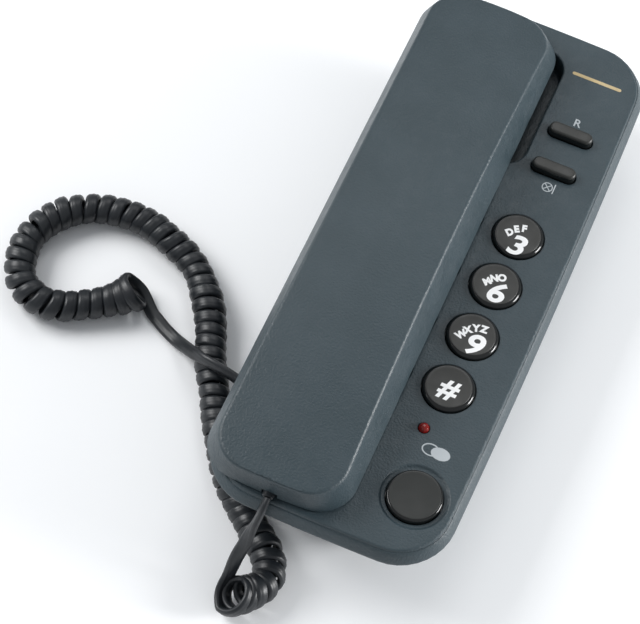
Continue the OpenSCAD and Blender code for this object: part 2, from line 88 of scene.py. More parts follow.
def finish_of(name, low, high, rough, grain=2200, depth=0.02, patch=60, **shader_inputs):
    """Plastic, rubber or metal: patchy colour, uneven gloss and a fine moulded grain.
    rough is (low, high); depth is the grain's height in mm."""
    mat = bpy.data.materials.new(name)
    mat.use_nodes = True
    tree = mat.node_tree
    shader = tree.nodes["Principled BSDF"]
    tree.links.new(ramp(tree, noise(tree, patch, 3), low, high), shader.inputs["Base Color"])
    spread = tree.nodes.new("ShaderNodeMapRange")
    spread.inputs["From Min"].default_value = 0.3
    spread.inputs["From Max"].default_value = 0.7
    spread.inputs["To Min"].default_value = rough[0]
    spread.inputs["To Max"].default_value = rough[1]
    tree.links.new(noise(tree, patch * 4, 4, (0.3, 0.1, 0)), spread.inputs["Value"])
    tree.links.new(spread.outputs["Result"], shader.inputs["Roughness"])
    bump = tree.nodes.new("ShaderNodeBump")
    bump.inputs["Strength"].default_value = 1
    bump.inputs["Distance"].default_value = depth * MM
    tree.links.new(noise(tree, grain, 2), bump.inputs["Height"])
    tree.links.new(bump.outputs["Normal"], shader.inputs["Normal"])
    for key, value in shader_inputs.items():
        shader.inputs[key.replace("_", " ")].default_value = value
    return mat


HOUSING = finish_of("housing", (0.027, 0.044, 0.053), (0.032, 0.050, 0.060), (0.38, 0.50),
                    grain=1300, depth=0.2)
INSIDE = finish_of("housing_inside", (0.026, 0.040, 0.048), (0.030, 0.046, 0.055), (0.55, 0.65))
KEY_FACE = finish_of("key_face", (0.017, 0.018, 0.016), (0.022, 0.023, 0.021), (0.34, 0.44),
                     grain=2000, depth=0.02)
KEY_EDGE = finish_of("key_edge", (0.004, 0.005, 0.005), (0.008, 0.009, 0.009), (0.10, 0.16),
                     grain=900, depth=0.002)
REDIAL_FACE = finish_of("redial_face", (0.009, 0.011, 0.010), (0.013, 0.015, 0.014), (0.45, 0.55),
                        grain=2000, depth=0.02)
LEGEND = finish_of("legend_white", (0.86, 0.87, 0.87), (0.92, 0.92, 0.92), (0.45, 0.55),
                   grain=3000, depth=0.004)
LABEL = finish_of("label_grey", (0.36, 0.40, 0.42), (0.44, 0.47, 0.49), (0.5, 0.6),
                  grain=3000, depth=0.004)
GOLD = finish_of("label_gold", (0.42, 0.33, 0.18), (0.52, 0.42, 0.25), (0.35, 0.5),
                 grain=3000, depth=0.004, Metallic=0.5)
RED = finish_of("red_lens", (0.20, 0.006, 0.004), (0.34, 0.02, 0.012), (0.05, 0.12),
                grain=500, depth=0.01, Transmission_Weight=0.25)
CORD = finish_of("cord", (0.008, 0.010, 0.013), (0.012, 0.015, 0.018), (0.34, 0.46),
                 grain=1500, depth=0.012, patch=120)
BLACK = finish_of("black_plastic", (0.012, 0.012, 0.013), (0.022, 0.022, 0.024), (0.4, 0.55))
RUBBER = finish_of("rubber", (0.014, 0.014, 0.014), (0.024, 0.024, 0.023), (0.7, 0.85),
                   grain=1400, depth=0.03)
CLEAR = finish_of("clear_plastic", (0.62, 0.65, 0.66), (0.72, 0.74, 0.75), (0.08, 0.16),
                  grain=500, depth=0.003, Transmission_Weight=0.75)
SILICONE = finish_of("silicone", (0.48, 0.48, 0.46), (0.56, 0.56, 0.53), (0.6, 0.7))
BOARD = finish_of("circuit_board", (0.012, 0.10, 0.035), (0.03, 0.17, 0.06), (0.3, 0.45),
                  grain=900, depth=0.01, patch=400)
STEEL = finish_of("steel", (0.50, 0.50, 0.50), (0.62, 0.62, 0.61), (0.25, 0.38),
                  grain=2400, depth=0.004, Metallic=1.0)
BRASS = finish_of("contacts", (0.62, 0.48, 0.22), (0.72, 0.57, 0.30), (0.2, 0.3),
                  grain=2000, depth=0.002, Metallic=1.0)
FLOOR = finish_of("floor_white", (0.93, 0.94, 0.95), (0.96, 0.97, 0.98), (0.7, 0.8), grain=300,
                  depth=0.02, patch=6)

# ---- mesh tools, all in mm; sizes become metres where a mesh is built ----


def arc(cx, cy, rx, ry, start, end, n):
    """Points on an ellipse from start to end degrees, both included."""
    return [(cx + rx * math.cos(math.radians(start + (end - start) * i / n)),
             cy + ry * math.sin(math.radians(start + (end - start) * i / n)))
            for i in range(n + 1)]


def circle(pos, r, n=64):
    return arc(pos[0], pos[1], r, r, 0, 360 - 360 / n, n - 1)


def stadium(pos, length, width, n=16):
    half = (length - width) / 2
    return (arc(pos[0] + half, pos[1], width / 2, width / 2, -90, 90, n)
            + arc(pos[0] - half, pos[1], width / 2, width / 2, 90, 270, n))


def rows_of(half_len, r, straight=40, bend=9):
    """Distances along a rounded outline's length, each with how far its corner draws in."""
    steps = [(half_len - r + r * math.sin(math.radians(90 * i / bend)),
              r * (1 - math.cos(math.radians(90 * i / bend)))) for i in range(1, bend + 1)]
    middle = [((half_len - r) * (2 * i / straight - 1), 0) for i in range(straight + 1)]
    return [(-y, d) for y, d in reversed(steps)] + middle + steps


def outline(half_wid, half_len, r, side_bow=0.0, end_bow=0.0, pos=(0, 0), across=14,
            straight=40, bend=9):
    """Rounded rectangle with bowed sides: up the right side, over the far end and back."""
    rows = rows_of(half_len, r, straight, bend)
    right = [(half_wid - d, y) for y, d in rows]
    end = half_wid - rows[-1][1]
    far = [(end * (1 - 2 * i / across), half_len) for i in range(1, across)]
    left = [(-x, y) for x, y in reversed(right)]
    near = [(-x, -y) for x, y in far]
    return [(pos[0] + x * (1 - side_bow / half_wid * (y / half_len) ** 2),
             pos[1] + y * (1 - end_bow / half_len * (x / half_wid) ** 2))
            for x, y in right + far + left + near]


def encloses(shape, x, y):
    """Whether the point lies inside the closed outline."""
    inside = False
    for (x0, y0), (x1, y1) in zip(shape, shape[1:] + shape[:1]):
        if (y0 > y) != (y1 > y) and x < x0 + (y - y0) / (y1 - y0) * (x1 - x0):
            inside = not inside
    return inside


class Skin:
    """Collects loops of points, bands between them and flat caps into one mesh."""

    def __init__(self):
        self.points, self.faces, self.mats = [], [], []

    def loop(self, points, z=None):
        first = len(self.points)
        self.points += [(p[0], p[1], p[2] if z is None else z) for p in points]
        return list(range(first, len(self.points)))

    def add(self, face, mat=0):
        self.faces.append(face)
        self.mats.append(mat)

    def band(self, a, b, mat=0):
        for i in range(len(a)):
            j = (i + 1) % len(a)
            self.add((a[i], a[j], b[j], b[i]), mat)

    def bands(self, loops, mat=0):
        for a, b in zip(loops, loops[1:]):
            self.band(a, b, mat)
        return loops[-1]

    def fan(self, loop, centre, mat=0):
        tip = len(self.points)
        self.points.append(centre)
        for i in range(len(loop)):
            self.add((loop[i], loop[(i + 1) % len(loop)], tip), mat)

    def cap(self, outer, *holes, mat=0):
        """Fills between an outer loop and the holes in it, all at one height."""
        flat = [i for loop in (outer, *holes) for i in loop]
        edges, at = [], 0
        for loop in (outer, *holes):
            n = len(loop)
            edges += [(at + k, at + (k + 1) % n) for k in range(n)]
            at += n
        coords = [self.points[i][:2] for i in flat]
        _, _, tris, source, _, _ = delaunay_2d_cdt(coords, edges, [], 1, 1e-7)
        shapes = [[self.points[i][:2] for i in hole] for hole in holes]
        for tri in tris:
            face = tuple(flat[source[v][0]] for v in tri)
            x, y = (sum(self.points[i][k] for i in face) / 3 for k in (0, 1))
            if not any(encloses(shape, x, y) for shape in shapes):
                self.add(face, mat)

    def build(self, name, *materials, smooth=30):
        """Makes the object, with its faces turned outwards; smooth is the sharpest soft edge."""
        mesh = bpy.data.meshes.new(name)
        mesh.from_pydata([tuple(c * MM for c in p) for p in self.points], [], self.faces)
        mesh.polygons.foreach_set("material_index", self.mats)
        return dress(mesh, name, *materials, smooth=smooth)


def dress(mesh, name, *materials, smooth=30):
    bm = bmesh.new()
    bm.from_mesh(mesh)
    bmesh.ops.remove_doubles(bm, verts=bm.verts, dist=1e-7)
    bmesh.ops.recalc_face_normals(bm, faces=bm.faces)
    for face in bm.faces:
        face.smooth = True
    for edge in bm.edges:
        edge.smooth = edge.calc_face_angle(0) < math.radians(smooth)
    bm.to_mesh(mesh)
    bm.free()
    for mat in materials:
        mesh.materials.append(mat)
    obj = bpy.data.objects.new(name, mesh)
    bpy.context.scene.collection.objects.link(obj)
    return obj


def drop(obj):
    mesh = obj.data
    bpy.data.objects.remove(obj)
    bpy.data.meshes.remove(mesh)


def carve(obj, operation, *tools):
    """Adds or subtracts closed meshes, which are then removed."""
    for tool in tools:
        change = obj.modifiers.new("carve", "BOOLEAN")
        change.operation = operation
        change.solver = "EXACT"
        change.object = tool
        done = bpy.data.meshes.new_from_object(
            obj.evaluated_get(bpy.context.evaluated_depsgraph_get()))
        obj.modifiers.clear()
        old = obj.data
        obj.data = done
        bpy.data.meshes.remove(old)
        drop(tool)
    return obj


def settle(obj, smooth=30):
    """Cleans a carved mesh: joins doubled points, keeps its flat faces flat in shading."""
    bm = bmesh.new()
    bm.from_mesh(obj.data)
    bmesh.ops.remove_doubles(bm, verts=bm.verts, dist=2e-6)
    bmesh.ops.dissolve_degenerate(bm, edges=bm.edges, dist=1e-6)
    for face in bm.faces:
        face.smooth = True
    for edge in bm.edges:
        edge.smooth = edge.calc_face_angle(0) < math.radians(smooth)
    bm.to_mesh(obj.data)
    bm.free()
    weigh = obj.modifiers.new("even_shading", "WEIGHTED_NORMAL")
    weigh.keep_sharp = True
    return obj


def prism(loop, z0, z1, name="cutter"):
    skin = Skin()
    low, high = skin.loop(loop, z0), skin.loop(loop, z1)
    skin.band(low, high)
    skin.cap(low)
    skin.cap(high)
    return skin.build(name)


def lathe_into(skin, pos, profile, n=64, mats=None):
    """Turns (radius, z) points about an upright axis; both ends close on the axis.
    mats gives each step's material."""
    loops = [skin.loop(circle(pos, r, n), z) for r, z in profile[1:-1]]
    for k, (a, b) in enumerate(zip(loops, loops[1:])):
        skin.band(a, b, mats[k + 1] if mats else 0)
    skin.fan(loops[0], (pos[0], pos[1], profile[0][1]), mats[0] if mats else 0)
    skin.fan(loops[-1], (pos[0], pos[1], profile[-1][1]), mats[-1] if mats else 0)


def lathe(name, pos, profile, *materials, n=64, mats=None, smooth=30):
    skin = Skin()
    lathe_into(skin, pos, profile, n, mats)
    return skin.build(name, *materials, smooth=smooth)


def place(obj, body, slot, *nodes):
    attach(obj, body)
    if nodes:
        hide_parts(*nodes)
    return obj


# ---- sizes shared with the CAD model, in mm ----

HALF_WID, HALF_LEN, CORNER = 43.1, 110.3, 19
PANEL = 36
ROOF = 33.6
COLUMNS = (-23.5, -1.0, 21.5)
ROWS = (19.8, -1.86, -23.52, -45.18)
KEY_R, FACE_R, KEY_TOP = 8.95, 7.7, 37.4
KEY_SEAT, FLANGE_TOP, FLANGE = 31.8, 33.0, 0.9
REDIAL, RECALL, MUTE, LAMP = (26, -86.5), (23.6, 66.4), (23.3, 50.1), (19.5, -62.1)
OBLONG_LEN, OBLONG_WID, LAMP_R = 16.2, 5.2, 1.9
EAR, MIC = (-17.3, 76), (-17.3, -80)
CORD_X, LEAD_Z = -16.5, 37.8  # where the cord leaves the handset
EAR_WELL, MIC_WELL = (-35.2, 46, 12, 98), (-35.2, -99, 4, -61)
WELL_FLOOR = 28
LIP = 0.25  # gap between a key and the edge of its hole
HOOK = (-17.3, 62)
SCREWS = ((16.5, 82), (-16.5, 82), (11, -82), (-16.5, -82))
FEET = [(x, y) for x in (-20.5, 20.5) for y in (-66, 66)]


def base_loop(in_x, in_y, draw=0):
    """The base's outline drawn in from its widest line; draw shrinks its corners."""
    return outline(HALF_WID - in_x, HALF_LEN - in_y, CORNER - draw, 1.4, 0.9)


def well_loop(box, grow):
    return outline((box[2] - box[0]) / 2 + grow, (box[3] - box[1]) / 2 + grow, 8 + grow,
                   pos=((box[0] + box[2]) / 2, (box[1] + box[3]) / 2), across=4, straight=4)


# ---- base, upper housing ----

HOLE_BOTTOM = 29.0  # below the panel's underside, which the cavity cuts away
SOFT_EDGE = ((0.45, 0), (0.25, 0), (0.1, 0.05), (0.02, 0.16), (0, 0.32))  # (grow, drop)
# (in across, in along, corner draw, z): up the flared band, over the groove to the panel
BAND = ((3.7, 3.7, 0, 26.0), (3.5, 3.5, 0, 26.2), (1.1, 1.1, 0, 29.2), (0.35, 0.35, 0, 30.1),
        (0.08, 0.08, 0, 30.5), (0.0, 0.0, 0, 30.9), (0.06, 0.05, 0, 31.3), (0.3, 0.26, 0.2, 31.9),
        (1.3, 1.05, 1.0, 33.75), (1.95, 1.6, 1.5, 34.75), (2.2, 1.85, 1.7, 35.0),
        (2.42, 2.05, 1.85, 35.0), (2.55, 2.2, 1.9, 35.1), (2.66, 2.3, 2.0, 35.45),
        (2.85, 2.5, 2.1, 35.8), (3.15, 2.8, 2.3, 35.97), (3.4, 3.05, 2.4, 36.0),
        (3.75, 3.4, 2.6, 36.0))
# (radius, z): from the panel down into the dish round the redial key and through the panel
DISH = ((12.05, 36), (11.9, 36), (11.7, 35.95), (11.4, 35.8), (11.15, 35.55), (10.9, 35.38),
        (10.6, 35.3), (10.1, 35.3), (9.85, 35.3), (9.68, 35.23), (9.58, 35.1), (9.55, 34.9),
        (9.55, HOLE_BOTTOM))
# (grow, z): from the panel down a well's wall to its floor
WELL = ((0.75, 36), (0.55, 36), (0.25, 35.9), (0.06, 35.7), (0, 35.4), (-0.25, 29.2),
        (-0.4, 28.6), (-0.75, 28.15), (-1.3, WELL_FLOOR), (-1.7, WELL_FLOOR))
# (radius, z): the hook plunger's hole through the ear well's floor
HOOK_HOLE = ((4.1, WELL_FLOOR), (3.95, WELL_FLOOR), (3.8, 27.9), (3.75, 27.7), (3.75, 26))


def holed(skin, grown):
    """A hole with a soft edge: grown(g) is its outline grown by g. Gives its top loop."""
    loops = [skin.loop(grown(g), PANEL - drop) for g, drop in SOFT_EDGE]
    last = skin.bands(loops + [skin.loop(grown(0), HOLE_BOTTOM)])
    skin.cap(last)
    return loops[0]


skin = Skin()
band = [skin.loop(base_loop(x, y, d), z) for x, y, d, z in BAND]
panel_edge = skin.bands(band)
holes = [holed(skin, lambda g, p=(x, y): circle(p, KEY_R + LIP + g, 72))
         for x in COLUMNS for y in ROWS]
holes += [holed(skin, lambda g, p=p: stadium(p, OBLONG_LEN + 2 * (LIP + g),
                                             OBLONG_WID + 2 * (LIP + g))) for p in (RECALL, MUTE)]
holes.append(holed(skin, lambda g: circle(LAMP, LAMP_R + 0.1 + g, 32)))
dish = [skin.loop(circle(REDIAL, r, 96), z) for r, z in DISH]
skin.cap(skin.bands(dish))
ear_well, mic_well = ([skin.loop(well_loop(box, g), z) for g, z in WELL]
                      for box in (EAR_WELL, MIC_WELL))
hook_hole = [skin.loop(circle(HOOK, r, 48), z) for r, z in HOOK_HOLE]
skin.cap(skin.bands(ear_well), hook_hole[0])
skin.cap(skin.bands(mic_well))
skin.cap(panel_edge, *holes, dish[0], ear_well[0], mic_well[0])
skin.cap(band[0], skin.bands(hook_hole))
upper = skin.build("base_top", HOUSING)



def hollow_of(levels):
    """The closed space inside a housing, through (drawn in, corner draw, z) levels."""
    skin = Skin()
    loops = [skin.loop(base_loop(x, x, d), z) for x, d, z in levels]
    skin.cap(skin.bands(loops))
    skin.cap(loops[0])
    return skin.build("cavity")


cavity = hollow_of(((5.9, 2.4, 25), (5.9, 2.4, 26), (2.9, 2.4, 30.4), (3.0, 2.4, 31),
                    (4.2, 3.4, ROOF)))
carve(cavity, "DIFFERENCE", *[prism(well_loop(box, 2), 24, 35) for box in (EAR_WELL, MIC_WELL)])
settle(carve(upper, "DIFFERENCE", cavity))
place(upper, "base", "housing", "base_upper_housing")

# ---- base, lower housing ----

skin = Skin()
shell = [skin.loop(base_loop(x, x, d), z) for x, d, z in (
    (18.6, 1.0, 1.6), (18.2, 0.8, 1.6), (17.5, 0.4, 1.75), (17.0, 0.1, 2.1), (16.6, 0, 2.6),
    (10.3, 0, 14), (4.1, 0, 25.1), (3.8, 0, 25.5), (4.1, 0, 25.8), (4.6, 0, 25.8))]
skin.cap(skin.bands(shell))
skin.cap(shell[0])
lower = skin.build("base_bottom", HOUSING, INSIDE)
cavity = hollow_of(((18.2, 2.4, 3.8), (12.8, 2.4, 13.6), (6.1, 2.4, 26), (6.1, 2.4, 27)))
carve(cavity, "DIFFERENCE", *[prism(circle(p, 3.7, 40), 2, 14) for p in SCREWS])
SCREW_BORE = ((0, 1), (3.6, 1), (3.1, 2.1), (3.1, 8), (1.7, 8), (1.7, 15), (0, 15))
FLOOR_CUT = (0, 5)  # heights between which a cut passes through the floor


def box_cut(half_wid, half_len, r, pos, low, high):
    """A slightly rounded box to cut with."""
    return prism(outline(half_wid, half_len, r, pos=pos, across=4, straight=4, bend=3), low, high)


tools = [cavity]
tools += [lathe("cutter", p, SCREW_BORE, n=40) for p in SCREWS]
tools += [prism(circle(p, 4.7, 40), 0, 2) for p in FEET]
for y in (-50, 50):  # wall slots: a slot for a screw's shank, a round entry for its head
    tools.append(prism([(q, p) for p, q in stadium((y, 0), 11, 4.4)], *FLOOR_CUT))
    tools.append(prism(circle((0, y - 6.5), 4.4, 40), *FLOOR_CUT))
tools += [prism(stadium((0, -30 + 3 * i), 16, 1.4, 6), *FLOOR_CUT) for i in range(-3, 4)]  # grille
tools.append(box_cut(2, 4.2, 0.4, (14, 18.2), *FLOOR_CUT))  # ringer knob
tools.append(box_cut(6.3, 9.4, 0.5, (0, 100.9), 4.7, 16.8))  # line socket
tools.append(box_cut(9.5, 6.3, 0.5, (-33.6, -63), 6.5, 18.6))  # cord socket
tools.append(prism(outline(19, 9, 1.5, across=6, straight=6, bend=4), 0, 1.95))  # label field
carve(lower, "DIFFERENCE", *tools)
settle(lower)
place(lower, "base", "housing", "base_lower_housing")

skin = Skin()
for p in FEET:
    lathe_into(skin, p, ((0, 0.25), (2.6, 0.25), (2.9, 0.0), (4.2, 0.0), (4.42, 0.08), (4.5, 0.3),
                         (4.5, 2.0), (0, 2.0)), 40)
place(skin.build("rubber_feet_soft", RUBBER), "base", "rubber", "rubber_feet")

# ---- keys ----


DISH_DEPTH = 0.42
# (grow, z) round a round key's foot, from its underside up to its stem
FLANGE_SIDE = ((0.8, KEY_SEAT), (FLANGE, 31.9), (FLANGE, 32.9), (0.8, FLANGE_TOP), (0, FLANGE_TOP))


def face_height(r, top, face_r):
    """Height of a key's dished face at radius r."""
    return top - DISH_DEPTH * (1 - min(r / face_r, 1) ** 2)


def round_key(name, pos, r, face_r, top, face_mat):
    """A key with a flange, a quarter-round glossy shoulder and a dished satin face."""
    shoulder = r - face_r
    profile = [(0, KEY_SEAT)] + [(r + g, z) for g, z in FLANGE_SIDE]
    profile += [(r - shoulder * (1 - math.cos(math.radians(a))),
                 top - 0.1 - shoulder * (1 - math.sin(math.radians(a)))) for a in range(0, 91, 10)]
    edge = len(profile)
    profile += [(face_r - 0.06, top - 0.02), (face_r - 0.14, top)]
    profile += [(face_r * k / 10, face_height(face_r * k / 10, top, face_r)) for k in range(9, 0, -1)]
    profile.append((0, face_height(0, top, face_r)))
    mats = [0 if k < edge - 1 else 1 for k in range(len(profile) - 1)]
    return lathe(name, pos, profile, KEY_EDGE, face_mat, n=96, mats=mats, smooth=40)


KEYS = {"key_1": (0, 0), "key_2": (1, 0), "key_3": (2, 0), "key_4": (0, 1), "key_5": (1, 1),
        "key_6": (2, 1), "key_7": (0, 2), "key_8": (1, 2), "key_9": (2, 2), "key_star": (0, 3),
        "key_0": (1, 3), "key_hash": (2, 3)}
for name, (column, row) in KEYS.items():
    cap = round_key(name + "_cap", (COLUMNS[column], ROWS[row]), KEY_R, FACE_R, KEY_TOP, KEY_FACE)
    place(cap, name, "key_cap", name)
place(round_key("redial_cap", REDIAL, 9.3, 8.5, 37.3, REDIAL_FACE), "redial_key", "button_cap",
      "redial_key")


# (grow, z): from an oblong key's foot up its side, then over its soft edge to its crown
OBLONG_SIDE = ((0.7, 31.8), (0.8, 31.9), (0.8, 32.9), (0.7, 33.0), (0, 33.0), (-0.08, 37),
               (-0.2, 38.3))
OBLONG_TOP = ((-0.35, 38.75), (-0.6, 39.05), (-0.9, 39.2), (-1.15, 39.22), (-1.6, 39.26),
              (-2.1, 39.29))


def oblong_key(name, pos, node):
    """A key with a flange, glossy sides and a slightly crowned satin top."""
    skin = Skin()
    side, top = ([skin.loop(stadium(pos, OBLONG_LEN + 2 * g, OBLONG_WID + 2 * g, 20), z)
                  for g, z in levels] for levels in (OBLONG_SIDE, OBLONG_TOP))
    skin.cap(side[0])
    skin.bands(side)
    skin.bands([side[-1]] + top, 1)
    skin.cap(top[-1], mat=1)
    return place(skin.build(name, KEY_EDGE, KEY_FACE, smooth=40), node, "button_cap", node)


oblong_key("recall_cap", RECALL, "recall_key")
oblong_key("mute_cap", MUTE, "mute_key")

# ---- ring lamp: a clear red dome with ten cut sides ----

LAMP_PROFILE = ((0, 28.6), (LAMP_R, 28.6), (LAMP_R, 35.7), (1.86, 36.1), (1.74, 36.5),
                (1.52, 36.9), (1.22, 37.25), (0.85, 37.48), (0.42, 37.6), (0, 37.62))
place(lathe("ring_lamp", LAMP, LAMP_PROFILE, RED, n=10, smooth=12), "base", "red_lens",
      "ring_indicator_led")

# ---- handset: one shell for the back, one for the grip side ----

SET_X, SET_WID, BACK_WID, SET_BOW, SET_CORNER = -17.3, 25.7, 22.3, 1.6, 12
SET_NEAR, SET_FAR, SET_FAR_TOP = -106.2, 104.0, 99.8
RIM, RIM_RAISED, RAISED_FROM, RAISED_TO = 36.5, 38.0, -59, 34
BACK_LOW, BACK_RISE, CROWN, WAIST = 9.8, 9.2, 0.7, 1.6
BACK_EDGE, WALL = 1.15, 2.2
ACROSS = 14


def arch(y):
    """The back's rise along the handset: 0 at its ends, 1 at its middle."""
    return max(math.cos(math.radians(90 * (y + 1.1) / 108)), 0) ** 0.9


def back_half(y):
    """Half the back's width at y; it is narrower at the middle."""
    return BACK_WID - WAIST * arch(y)


def back_height(x, y, lower=0.0):
    across = (x - SET_X) / back_half(y)
    return PANEL + BACK_LOW + BACK_RISE * arch(y) + CROWN * (1 - across ** 2) - lower


def rim_loop(inset):
    """The handset's outline at its rim; the rim is raised beside the keys."""
    loop = outline(SET_WID - inset, (SET_FAR - SET_NEAR) / 2 - inset, SET_CORNER - inset, 0,
                   SET_BOW, (SET_X, (SET_FAR + SET_NEAR) / 2), ACROSS)
    return [(x, y, RIM_RAISED if x > SET_X + 20 and RAISED_FROM < y < RAISED_TO else RIM)
            for x, y in loop]


def back_loop(inset, lower=0.0):
    """The outline of the handset's back, drawn in by inset and let down by lower."""
    near, far = SET_NEAR + inset, SET_FAR_TOP - inset
    loop = outline(BACK_WID - inset, (far - near) / 2, SET_CORNER - inset, 0, SET_BOW,
                   (SET_X, (near + far) / 2), ACROSS)
    out = []
    for x, y in loop:
        x = SET_X + (x - SET_X) * (back_half(y) - inset) / (BACK_WID - inset)
        out.append((x, y, back_height(x, y, lower)))
    return out


def between(a, b, t):
    return tuple(p + (q - p) * t for p, q in zip(a, b))


def close_back(skin, loop, lower=0.0):
    """Fills the back's outline with rows of faces that follow its arch and crown."""
    rows = len(loop) // 2 - (ACROSS - 1)
    left_from = rows + ACROSS - 1
    near_from = left_from + rows
    left = list(reversed(loop[left_from:near_from]))
    grid = [[left[0]] + loop[near_from:] + [loop[0]]]
    for k in range(1, rows - 1):
        a, b = skin.points[left[k]], skin.points[loop[k]]
        row = []
        for i in range(1, ACROSS):
            x, y, _ = between(a, b, i / ACROSS)
            y += SET_BOW * (y / 105) * (1 - ((x - SET_X) / 21) ** 2) * (abs(y) / 105) ** 6
            row.append((x, y, back_height(x, y, lower)))
        grid.append([left[k]] + skin.loop(row) + [loop[k]])
    grid.append([left[-1]] + list(reversed(loop[rows:left_from])) + [loop[rows - 1]])
    for low, high in zip(grid, grid[1:]):
        for i in range(ACROSS):
            skin.add((low[i], low[i + 1], high[i + 1], high[i]))


skin = Skin()
rim, back, inner = rim_loop(0), back_loop(0), back_loop(BACK_EDGE)
outer = [skin.loop(rim_loop(1.2)), skin.loop(rim_loop(0.35))]
outer.append(skin.loop([between(p, q, 0.005) for p, q in zip(rim_loop(0.1), back)]))
outer += [skin.loop([between(p, q, t) for p, q in zip(rim, back)]) for t in (0.02, 0.3, 0.6, 0.88)]
for t in (0.0, 0.18, 0.36, 0.54, 0.74, 1.0):  # the rounded edge between the side and the back
    ring = []
    for p, q, r in zip(rim, back, inner):
        side = between(q, p, BACK_EDGE / math.dist(p, q))
        ring.append(between(between(side, q, t), between(q, r, t), t))
    outer.append(skin.loop(ring))
close_back(skin, skin.bands(outer))
rim_in, back_in = rim_loop(WALL), back_loop(WALL, WALL)
hollow = [outer[0], skin.loop(rim_loop(WALL - 0.2)), skin.loop([(x, y, z + 0.2) for x, y, z in rim_in]),
          skin.loop([between(p, q, 0.5) for p, q in zip(rim_in, back_in)]), skin.loop(back_in)]
close_back(skin, skin.bands(hollow), WALL)
shell = skin.build("handset_back", HOUSING)
notch = prism(outline(2.7, 4, 1.0, pos=(CORD_X, -106), across=4, straight=4, bend=4), 34, 38.9)
carve(shell, "DIFFERENCE", notch)
settle(shell, 35)
place(shell, "handset", "housing", "handset_upper_shell")

# The grip side: a plate from PLATE_LOW to PLATE_HIGH with two round pods hanging from it
PLATE_LOW, PLATE_HIGH, POD_LOW, POD_FLOOR = 41.0, 43, 29.5, 31.5
# (drawn in, z) at the plate's edge
PLATE_EDGE = ((0.8, PLATE_LOW), (0.4, PLATE_LOW), (0.1, 41.1), (0, 41.4), (0, PLATE_HIGH))
# (grow, z) down a pod's side to its face
POD_SIDE = ((1.0, PLATE_LOW), (0.8, PLATE_LOW), (0.3, 40.85), (0.03, 40.4), (0, 39.5), (-0.15, 31.4),
            (-0.35, 30.5), (-0.8, 29.85), (-1.5, 29.55), (-2.3, POD_LOW), (-2.7, POD_LOW))
# (radius, z) of a sunk screw hole
SCREW_SINK = ((3.1, PLATE_LOW), (2.9, 41.2), (2.9, 41.9), (1.7, 41.9), (1.7, PLATE_HIGH))
ear_holes = [circle((EAR[0] + 5 * math.cos(math.radians(60 * i)),
                     EAR[1] + 5 * math.sin(math.radians(60 * i))), 1.1, 16) for i in range(6)]
ear_holes.append(circle(EAR, 1.1, 16))
mic_slots = [stadium((MIC[0], MIC[1] + 3 * i), 8, 1.2, 8) for i in (-1, 0, 1)]

skin = Skin()
plate = [skin.loop(outline(21.4 - g, 101.4 - g, 9.2, 0, SET_BOW, (SET_X, -2.2), 8), z)
         for g, z in PLATE_EDGE]
skin.bands(plate)
faces, backs = [], []
for pos, r, spots in ((EAR, 17.4, ear_holes), (MIC, 16.5, mic_slots)):
    outside = [skin.loop(circle(pos, r + g, 80), z) for g, z in POD_SIDE]
    inside = [skin.loop(circle(pos, r - 2, 80), z) for z in (PLATE_HIGH, POD_FLOOR)]
    low, high = ([skin.loop(spot, z) for spot in spots] for z in (POD_LOW, POD_FLOOR))
    for a, b in zip(low, high):
        skin.band(a, b)
    skin.bands(outside)
    skin.cap(outside[-1], *low)
    skin.bands(inside)
    skin.cap(inside[-1], *high)
    faces.append(outside[0])
    backs.append(inside[0])
for y in (46, -52):
    sunk = [skin.loop(circle((SET_X, y), r, 32), z) for r, z in SCREW_SINK]
    skin.bands(sunk)
    faces.append(sunk[0])
    backs.append(sunk[-1])
skin.cap(plate[0], *faces)
skin.cap(plate[-1], *backs)
grip = skin.build("handset_front", HOUSING)
settle(grip)
place(grip, "handset", "housing", "handset_lower_shell")

# ---- small moving and plugged parts ----

HOOK_PROFILE = ((0, 22), (2.2, 22), (2.4, 22.2), (2.4, 25), (3.4, 25), (3.5, 25.1), (3.5, 28.3),
                (3.4, 28.75), (3.1, 29.05), (2.6, 29.2), (1.4, 29.25), (0, 29.26))
place(lathe("hook_button", HOOK, HOOK_PROFILE, BLACK, n=48), "hook", "black_plastic",
      "hook_plunger")


def swept(name, sections, *materials, smooth=30):
    """Closed skin through cross-sections, each a list of (x, y, z); gives the object."""
    skin = Skin()
    loops = [skin.loop(section) for section in sections]
    skin.bands(loops)
    for loop in (loops[0], loops[-1]):
        skin.add(tuple(loop))
    return skin.build(name, *materials, smooth=smooth)


KNOB_FROM, KNOB_LEN = 14.3, 3.8
profile = [(KNOB_FROM, 7.4), (KNOB_FROM, 4.2), (14.35, 2.3)]
for i in range(4):  # four ridges for the fingertip
    profile += [(14.6 + 0.8 * i, 1.95), (14.95 + 0.8 * i, 1.95), (15.1 + 0.8 * i, 2.3),
                (15.25 + 0.8 * i, 2.3)]
profile += [(18.05, 2.3), (KNOB_FROM + KNOB_LEN, 4.2), (KNOB_FROM + KNOB_LEN, 7.4)]
sections = [[(x, KNOB_FROM + (y - KNOB_FROM) * scale + KNOB_LEN * (1 - scale) / 2, z)
             for y, z in profile]
            for x, scale in ((12.3, 0.94), (12.45, 1), (15.55, 1), (15.7, 0.94))]
place(swept("ringer_knob", sections, BLACK), "ringer_slider", "black_plastic",
      "ringer_switch_knob")


PLUG_HALF_WID, PLUG_HALF_TALL = 3.3, 2.9
PLUG_ENDS = ((0, 0.25), (0.25, 0), (9.5, 0), (10.2, 0.5))  # (distance from the nose, drawn in)
CONTACT_PITCH, CONTACT_HALF, CONTACT_DEEP, CONTACT_PROUD = 1.02, 0.17, 1.6, 0.04
CONTACT_ENDS, LATCH_ENDS = (0.6, 3.9), (0.8, 8.5)


